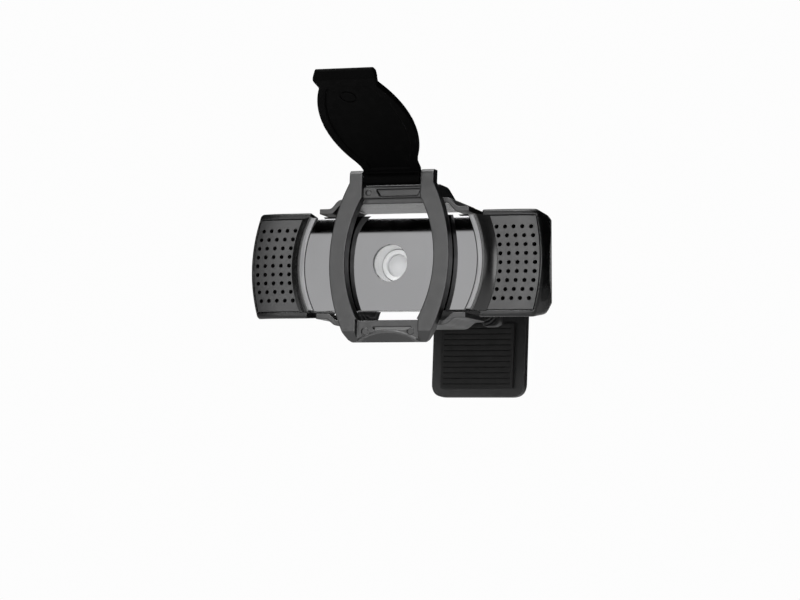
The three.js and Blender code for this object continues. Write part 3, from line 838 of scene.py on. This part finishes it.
def cover_body():
    rim = both_sides([(outer_bar(21), COVER_TOP)] + [(outer_bar(z), z) for z in np.linspace(21, -20, 40)]
                     + [(11.6, -21.4), (10.7, -22)])
    opening = both_sides([(8.45, 16.9)] + [(inner_bar(z), z) for z in np.linspace(16.4, -16.2, 40)])
    bars = cut(slab(rim, FRONT, BACK), slab(opening, FRONT - 1, BACK + 1))
    cut(bars, block(-8.45, 8.45, FRONT - 1, BACK + 1, 20, 30))
    cut(bars, block(-8.45, 8.45, FRONT - 1, ROOM, 16, 21))
    cut(bars, block(-9, 9, FRONT - 1, ROOM, -30, -16))
    foot = [(FRONT - 1, -19.4), (FRONT, -19.4), (FRONT + 2.2, -22.1), (FRONT + 2.2, -24), (FRONT - 1, -24)]
    crest = [(FRONT - 1, 23.6), (FRONT, 23.6), (FRONT + 0.9, 24.5), (FRONT + 0.9, 26), (FRONT - 1, 26)]
    cut(bars, slab(foot, -30, 30, "side"), slab(crest, -30, 30, "side"))
    cut(bars, slab(rounded(TRAY, 0.35, 3), ROOM - 1, ROOM + 0.9))
    radius, back = NOTCH["radius"], NOTCH["back"]
    arch = NOTCH["peak"] - radius
    scoop = [(0, FRONT - 1), (radius, FRONT - 1), (radius, ROOM), (NOTCH["back_radius"], back), (0, back)]
    cut(bars, turned(scoop, 0, arch, 128))
    rim_arc = cut(rod("y", radius + NOTCH["rim"], ROOM - 0.15, ROOM + 1, 0, arch, 128),
                  rod("y", radius, FRONT, 0, 0, arch, 128), block(-20, 20, -10, 10, -60, -21.9))
    join(bars, rim_arc)
    cut(bars, slab(rounded(SLIT, 0.2, 3), FRONT, 3))
    for size, x, z in STUDS:
        join(bars, rod("y", size, ROOM - 0.15, ROOM + 1, x, z, 32))
    join(bars, arm_strip(**UPPER_ARM), arm_strip(**LOWER_ARM))
    join(bars, slab(rounded(HUMP, [0, 0.3, 0.3, 1.4, 0.3, 0.2, 0.1], 5), -12, 12, "side"))
    for x in range(-8, 9, 4):
        cut(bars, slab(GROOVE, x - 0.4, x + 0.4, "side"))
    cut(bars, rod("x", LID_BORE, -11, 11, LID.y, LID.z, 32))
    return melt(bars, *COVER_MELT)


# TAB is half of the tab's outline; its last two corners, on the middle line, only close it for rounding.
TAB = [(8.2, -38.8), (8.8, -41.2), (8.8, -42.4), (7.9, -43.6), (0, -43.6), (0, -38.8)]
LID_OPEN = 118
LID_SIDE = [(-0.6, 3), (-0.6, -42.0), (-2.5, -43.6), (-3.5, -43.3), (-2.4, -41.0), (-2.4, 3)]


def lid_outline(inset):
    """The lid's outline below its hinge line, or without the tab when shrunk by inset."""
    half = [(7.9 - inset, -1.0 - inset), (8.1 - inset, -4.6 - inset)]
    for z in np.linspace(15.8, -16.0, 36):
        half.append((inner_bar(z) - 0.3 - inset, z - LID.z))
    if inset:
        return both_sides(half)
    return both_sides(half + rounded(TAB, [0, 0.9, 0.5, 0.5, 0, 0], 4)[:-2])


def lid_body():
    """The lid, drawn hanging from its hinge line with its tab bent outwards, and then swung open."""
    plate = slab(lid_outline(0), -5, 0)
    common(plate, slab(rounded(LID_SIDE, [0, 0.15, 0.3, 0.4, 1.0, 0], 4), -14, 14, "side"))
    join(plate, rod("x", 1.9, -8.1, 8.1, 0, 0))
    root = slab([(-1.9, 0), (1.2, -1.2), (-0.55, -2.0), (-0.6, -3.6), (-2.3, -3.6)], -7.9, 7.9, "side")
    join(plate, root)
    cut(plate, slab(lid_outline(2.3), -0.95, 0.5))
    cut(plate, rod("x", LID_BORE, -9, 9, 0, 0, 32))
    melt(plate, *LID_MELT)
    mark = cut(rod("y", 2.3, -1.15, -0.4, -1.5, -34.2, 64), rod("y", 1.95, -2, 1, -1.5, -34.2, 64))
    cut(plate, mark)
    plate.data.transform(Matrix.Translation(LID) @ Matrix.Rotation(math.radians(-LID_OPEN), 4, "X"))
    return plate


def pin(radius, head, reach, thick, y, z):
    """A pin along x with a domed head at each end."""
    profile = [(0, -reach), (head * 0.6, -reach), (head, -reach + thick * 0.4), (head, -reach + thick),
               (radius, -reach + thick), (radius, reach - thick), (head, reach - thick),
               (head, reach - thick * 0.4), (head * 0.6, reach), (0, reach)]
    shape = turned(profile, sides=64)
    shape.data.transform(Matrix.Translation((0, y, z)) @ Matrix.Rotation(math.pi / 2, 4, "Z"))
    return shape


finish_piece(cover_body(), "cover_body", "cover", cover_satin, ["cover_frame"],
             shift=COVER_AT)
finish_piece(pin(0.7, 0.72, 10.6, 0.2, LID.y, LID.z), "lid_hinge_pin", "cover", steel, ["lid_pin"],
             shift=COVER_AT)
finish_piece(lid_body(), "lid_body", "lid", lid_matt, ["cover_lid"], shift=COVER_AT)

# ---- monitor clip ----
CLIP = {"half": 21.2, "front": 28.8, "back": 60.5, "under": SEAT + 1.3, "top": SEAT + 3.9,
        "lip": 2.8, "bottom": SEAT - 9.9, "prong": 16.4, "arch": 14.6}
PAD_GRIP = {"x": 16.6, "radii": (2.0, 3.0, 4.0)}


def clip_body():
    """The plate that sits on the monitor, with its two-pronged lip, the tilt knuckle and the leg's ears."""
    half, front, back = CLIP["half"], CLIP["front"], CLIP["back"]
    plan = rounded([(-half, front), (half, front), (half, back), (-half, back)], [1.2, 1.2, 3, 3], 6)
    shape = slab(plan, CLIP["under"], CLIP["top"], "plan")
    low = CLIP["bottom"]
    left = [(-half, CLIP["under"] + 1), (-half, low), (-CLIP["prong"], low), (-CLIP["arch"], low + 6.4),
            (-5, low + 8.4)]
    lip = rounded(both_sides(left), [0, 2.8, 0.8, 4.5, 4, 4, 4.5, 0.8, 2.8, 0], 8)
    join(shape, slab(lip, front, front + CLIP["lip"]))
    y, z = HINGE.y, HINGE.z
    ramp = rounded([(y, z - 3), (y, z + 3.9), (y + 3, z + 3.6), (y + 17, CLIP["top"] - 0.1),
                    (y + 17, CLIP["top"] - 1)], [0, 0.2, 2, 6, 0], 8)
    join(shape, slab(ramp, -6.2, 6.2, "side"), rod("x", 3.9, -6.2, 6.2, y, z, 72))
    for x0, x1 in both_ways(14.6, 19.0):
        ear = block(x0, x1, back - 3, LEG.y, LEG.z - 1.2, CLIP["top"])
        join(shape, ear, rod("x", 2.6, x0, x1, LEG.y, LEG.z))
    for x0, x1 in both_ways(6.2, 11.8):
        cut(shape, rod("x", 4.5, x0, x1, y, z))
    cut(shape, rod("x", PIN_BORE["radius"], -9, 9, y, z, 40), rod("x", LEG_BORE, -22, 22, LEG.y, LEG.z, 40))
    for x in (-17, -13, 13, 17):
        x0, x1, y0, y1 = x - 0.7, x + 0.7, front + 8, back - 6
        slot = rounded([(x0, y0), (x1, y0), (x1, y1), (x0, y1)], 0.6, 4)
        cut(shape, slab(slot, CLIP["top"] - 0.5, CLIP["top"] + 1, "plan"))
    for side in (-1, 1):
        for radius in PAD_GRIP["radii"]:
            x, z = side * PAD_GRIP["x"], low + 4.2
            groove = cut(rod("y", radius, front - 1, front + 0.35, x, z, 48),
                         rod("y", radius - 0.4, front - 2, front + 1, x, z, 48))
            cut(shape, common(groove, half_space(side, 0, 60, -30, low + 3.4, 30)))
    return melt(shape, *CLIP_MELT)


def leg_body():
    """The folding leg: a panel hung behind its hinge, with a boss for the insert and a groove round it."""
    half, face = 14.2, LEG.y + 4.3
    low, high, boss = SEAT - 25.5, LEG.z + 2, SEAT - 12
    panel = rounded([(-half, high), (-half, low), (half, low), (half, high)], [0.5, 4, 4, 0.5], 8)
    shape = slab(panel, face, face + 2.6)
    shoulder = rounded([(LEG.y, LEG.z - 2.6), (LEG.y, LEG.z + 2.6), (face + 2.6, LEG.z + 2.6),
                        (face + 2.6, LEG.z - 4.5), (face, LEG.z - 4.5), (face - 0.6, LEG.z - 2.6)],
                       [0, 0.2, 2.2, 0.2, 0.2, 0.8], 6)
    join(shape, slab(shoulder, -half, half, "side"), rod("x", 2.6, -half, half, LEG.y, LEG.z, 64))
    join(shape, rod("y", 6.5, face + 1, face + 4.8, 0, boss, 96))
    tray = rounded(both_sides([(-half + 2, LEG.z - 6), (-half + 2, low + 2)]), 2.4, 6)
    ring = cut(slab(tray, face + 2.1, face + 4), rod("y", 8, face, face + 6, 0, boss, 96))
    for x in (-8.5, 8.5):
        cut(ring, block(x - 0.5, x + 0.5, face, face + 6, low, high))
    cut(shape, ring)
    cut(shape, rod("y", 4.3, face + 1.6, face + 8, 0, boss, 72))
    cut(shape, rod("x", LEG_BORE, -20, 20, LEG.y, LEG.z, 40))
    return melt(shape, *CLIP_MELT)


def ribbed_pad(node, face, pitch):
    """A rubber pad in a CAD node's box, with ribs across the face that grips: down, back or front."""
    x0, x1, y0, y1, z0, z1 = cad_span(node)
    pad = block(x0, x1, y0, y1, z0, z1)
    start, end, surface, inwards = {"down": (y0, y1, z0, 1), "back": (z0, z1, y1, -1),
                                    "front": (z0, z1, y0, 1)}[face]
    count = int((end - start) / pitch)
    for k in range(count):
        at = (start + end - (count - 1) * pitch) / 2 + k * pitch
        outside, bottom = surface - inwards * 0.1, surface + inwards * 0.35
        wedge = [(outside, at - 0.3), (bottom, at), (outside, at + 0.3)]
        if face == "down":
            wedge = [(b, a) for a, b in wedge]
        cut(pad, slab(wedge, x0 + 0.8, x1 - 0.8, "side"))
    return soften(pad, 0.18)


def cad_span(node):
    """A CAD node's box in millimetres from the lens: x0, x1, y0, y1, z0, z1."""
    low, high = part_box(node)
    low, high = (low - LENS) / MM, (high - LENS) / MM
    return low.x, high.x, low.y, high.y, low.z, high.z


finish_piece(clip_body(), "clip_body", "clip", clip_black, ["clip_base"])
finish_piece(leg_body(), "leg_body", "leg", clip_black, ["clip_leg"])
PADS = [("seat_rubber", "clip", "seat_pad", "down", 1.6), ("leg_rubber", "leg", "leg_pad", "front", 1.6),
        ("lip_rubber_left", "clip", "lip_pad_left", "back", 1.2),
        ("lip_rubber_right", "clip", "lip_pad_right", "back", 1.2)]
for name, body, node, face, pitch in PADS:
    finish_piece(ribbed_pad(node, face, pitch), name, body, rubber_matt, [node], 50)


def washer(side):
    shape = turned([(1.8, -0.4), (3.25, -0.4), (3.4, -0.25), (3.4, 0.25), (3.25, 0.4), (1.8, 0.4)], sides=64)
    place = Matrix.Translation((side * 6.9, HINGE.y, HINGE.z)) @ Matrix.Rotation(math.pi / 2, 4, "Z")
    shape.data.transform(place)
    return shape


for word, side in (("left", -1), ("right", 1)):
    finish_piece(washer(side), f"friction_washer_{word}", "clip", steel, [f"hinge_washer_{word}"])
finish_piece(pin(1.5, 2.6, 11.2, 0.8, HINGE.y, HINGE.z), "tilt_pin", "clip", steel, ["hinge_pin"])
finish_piece(pin(1.0, 1.02, 18.8, 0.3, LEG.y, LEG.z), "fold_pin", "clip", steel, ["leg_pin"])


INSERT = {"outer": 4.0, "crest": 2.55, "root": 3.1, "pitch": 0.635}


def threaded_insert():
    """The brass insert for a camera screw, with its thread as turned ridges."""
    outer, crest, root, pitch = INSERT.values()
    x0, x1, y0, y1, z0, z1 = cad_span("tripod_insert")
    profile = [(outer, y0 + 0.15), (outer, y1 - 0.15), (outer - 0.15, y1), (root + 0.15, y1)]
    y = y1 - 0.2
    while y - pitch > y0:
        profile += [(root, y), (crest, y - pitch / 2)]
        y -= pitch
    profile += [(root, y), (root, y0), (outer - 0.15, y0)]
    return turned(profile, (x0 + x1) / 2, (z0 + z1) / 2)


def gland():
    """The rubber cable gland, with three grooves."""
    x0, x1, y0, y1, z0, z1 = cad_span("cable_gland")
    profile = [(1.6, y0), (3.6, y0), (3.6, y0 + 1.2), (2.3, y0 + 1.2)]
    for k in range(3):
        y = y0 + 2.0 + k * 0.9
        profile += [(2.3, y), (1.95, y + 0.2), (1.95, y + 0.45), (2.3, y + 0.65)]
    profile += [(2.2, y1), (1.6, y1)]
    return turned(profile, (x0 + x1) / 2, (z0 + z1) / 2)


def screw(node):
    """A screw with ridges for its thread, a domed head and a cross slot."""
    x0, x1, y0, y1, z0, z1 = cad_span(node)
    x, z = (x0 + x1) / 2, (z0 + z1) / 2
    profile = [(0, y0), (0.6, y0 + 0.3)]
    y = y0 + 0.6
    while y < y1 - 2.3:
        profile += [(0.75, y), (1.0, y + 0.25)]
        y += 0.5
    profile += [(0.9, y1 - 1.7), (2.1, y1 - 1.7), (2.1, y1 - 0.5), (1.7, y1 - 0.15), (0.9, y1), (0, y1)]
    shape = turned(profile, x, z, 48)
    for across, upright in ((1.2, 0.22), (0.22, 1.2)):
        cut(shape, block(x - across, x + across, y1 - 0.8, y1 + 1, z - upright, z + upright))
    return shape


finish_piece(threaded_insert(), "threaded_insert", "leg", brass, ["tripod_insert"], 25)
finish_piece(gland(), "gland", "head", rubber_matt, ["cable_gland"], 30)
for k in range(1, 5):
    node = f"housing_screw_{k}"
    finish_piece(screw(node), f"screw_{k}", "head", steel, [node], 30)

# ---- inner pieces keep their CAD shapes and get their real finishes ----
INNER = {
    acoustic_mesh: ["microphone_felt_left", "microphone_felt_right"],
    rubber_matt: ["microphone_boot_left", "microphone_boot_right"],
    steel: ["microphone_capsule_left", "microphone_capsule_right", "cable_header"],
    chip_black: ["focus_motor", "image_sensor", "board_connector", "video_processor", "sensor_holder"],
    lens_painted_reflection: ["infrared_filter", "status_led"],
    board_green: ["sensor_board", "main_board"],
}
for material, names in INNER.items():
    for name in names:
        mesh = frame["nodes"][name].data
        mesh.materials.clear()
        mesh.materials.append(material)

# ---- stage, light and camera ----
# The camera stands off from a point a little to the right of the lens and below it, in millimetres.
VIEW = {"azimuth": 22.0, "elevation": -6.6, "roll": 2.0, "distance": 900, "right": 2.66, "down": 10.0,
        "focal": 150.7, "sensor": 36.0}


def camera():
    azimuth, elevation = math.radians(VIEW["azimuth"]), math.radians(VIEW["elevation"])
    back = Vector((math.sin(azimuth) * math.cos(elevation), -math.cos(azimuth) * math.cos(elevation),
                   math.sin(elevation)))
    right = Vector((math.cos(azimuth), math.sin(azimuth), 0))
    up = back.cross(right)
    turn = math.radians(VIEW["roll"])
    right, up = right * math.cos(turn) + up * math.sin(turn), up * math.cos(turn) - right * math.sin(turn)
    data = bpy.data.cameras.new("camera")
    data.sensor_width, data.lens = VIEW["sensor"], VIEW["focal"]
    data.clip_start = 0.01
    eye = bpy.data.objects.new("camera", data)
    place = Matrix((right, up, back)).transposed().to_4x4()
    place.translation = LENS + (right * VIEW["right"] - up * VIEW["down"] + back * VIEW["distance"]) * MM
    eye.matrix_world = place
    bpy.context.scene.collection.objects.link(eye)
    bpy.context.scene.camera = eye


def area_light(name, place, size, power):
    """A rectangular light that points at the lens."""
    data = bpy.data.lights.new(name, "AREA")
    data.shape = "RECTANGLE"
    data.size, data.size_y = size
    data.energy = power
    lamp = bpy.data.objects.new(name, data)
    lamp.location = place
    aim = LENS - Vector(place)
    lamp.rotation_euler = aim.to_track_quat("-Z", "Y").to_euler()
    bpy.context.scene.collection.objects.link(lamp)


def lifted(degrees):
    """Where a height in degrees over the horizon falls on a 0 to 1 scale of directions."""
    return (math.sin(math.radians(degrees)) + 1) / 2


# The room's brightness: across it from left (-1) to right (1), and up each wall by height in degrees.
ACROSS = [((x + 1) / 2, value) for x, value in
          ((-0.95, 0.0), (-0.65, 0.1), (-0.4, 0.85), (0, 1.15), (0.55, 1.1), (0.75, 0.25), (0.9, 0.0))]
ROOM_FRONT = [(lifted(-35), 0.03), (lifted(-8), 0.75), (lifted(0), 1.0), (lifted(12.5), 0.95),
              (lifted(14.5), 0.0), (lifted(42), 0.0), (lifted(50), 0.2), (lifted(70), 0.35)]
WALL_LEFT = [(lifted(-16), 0.0), (lifted(-11), 0.6), (lifted(4), 0.6), (lifted(20), 0.02)]
WALL_RIGHT = [(lifted(-20), 0.0), (lifted(30), 0.0), (lifted(55), 0.03), (lifted(75), 0.3)]


def world():
    """A pale backdrop for the eye. The light comes from a studio: a bright wall in front that ends a little
    above eye height, a dark gap over it, a soft ceiling, and behind a low bright band on the left."""
    surround = bpy.data.worlds.new("studio")
    surround.use_nodes = True
    tree = surround.node_tree
    parts = parts_of(tree, "Generated")
    height = ranged(tree, parts["Z"], -1.0)
    across = ranged(tree, parts["X"], -1.0)
    behind = ranged(tree, parts["Y"], -0.35, 0.15, smooth=True)
    right = ranged(tree, parts["X"], -0.25, -0.05, smooth=True)
    wall = mixed(tree, right, stops(tree, height, WALL_LEFT), stops(tree, height, WALL_RIGHT))
    room = mixed(tree, behind, stops(tree, height, ROOM_FRONT), wall)
    light = tree.nodes["Background"]
    preset(light, {"Strength": 3.3})
    feed(tree, light.inputs["Color"], mixed(tree, 1.0, room, stops(tree, across, ACROSS), "MULTIPLY"))
    pale = tree.nodes.new("ShaderNodeBackground")
    preset(pale, {"Color": (0.98, 0.98, 0.98, 1)})
    eye = tree.nodes.new("ShaderNodeLightPath")
    either = tree.nodes.new("ShaderNodeMixShader")
    link(tree, eye, "Is Camera Ray", either, "Fac")
    link(tree, light, "Background", either, 1)
    link(tree, pale, "Background", either, 2)
    link(tree, either, "Shader", tree.nodes["World Output"], "Surface")
    bpy.context.scene.world = surround


def floor():
    """A pale floor, in metres, that glows a little for the eye only."""
    half, level = 6, -0.16
    corners = [(-half, -half, level), (half, -half, level), (half, half, level), (-half, half, level)]
    ground = make("floor", corners, [[0, 1, 2, 3]])
    material, tree, shader = nodes_of("floor_paint")
    tone = ramp(tree, noise(tree, 3, 3.0), 0.80, 0.84)
    feed(tree, shader.inputs["Base Color"], tone)
    preset(shader, {"Roughness": 0.9})
    feed(tree, shader.inputs["Emission Color"], tone)
    eye = tree.nodes.new("ShaderNodeLightPath")
    glow = arithmetic(tree, "MULTIPLY", eye.outputs["Is Camera Ray"], 0.6)
    feed(tree, shader.inputs["Emission Strength"], glow)
    ground.data.materials.append(material)


camera()
world()
floor()
area_light("key", (-0.25, -0.9, 0.75), (0.5, 0.4), 6)
area_light("overhead", (-0.1, -0.15, 0.9), (0.8, 0.5), 5)
bpy.context.scene.view_settings.view_transform = "Standard"
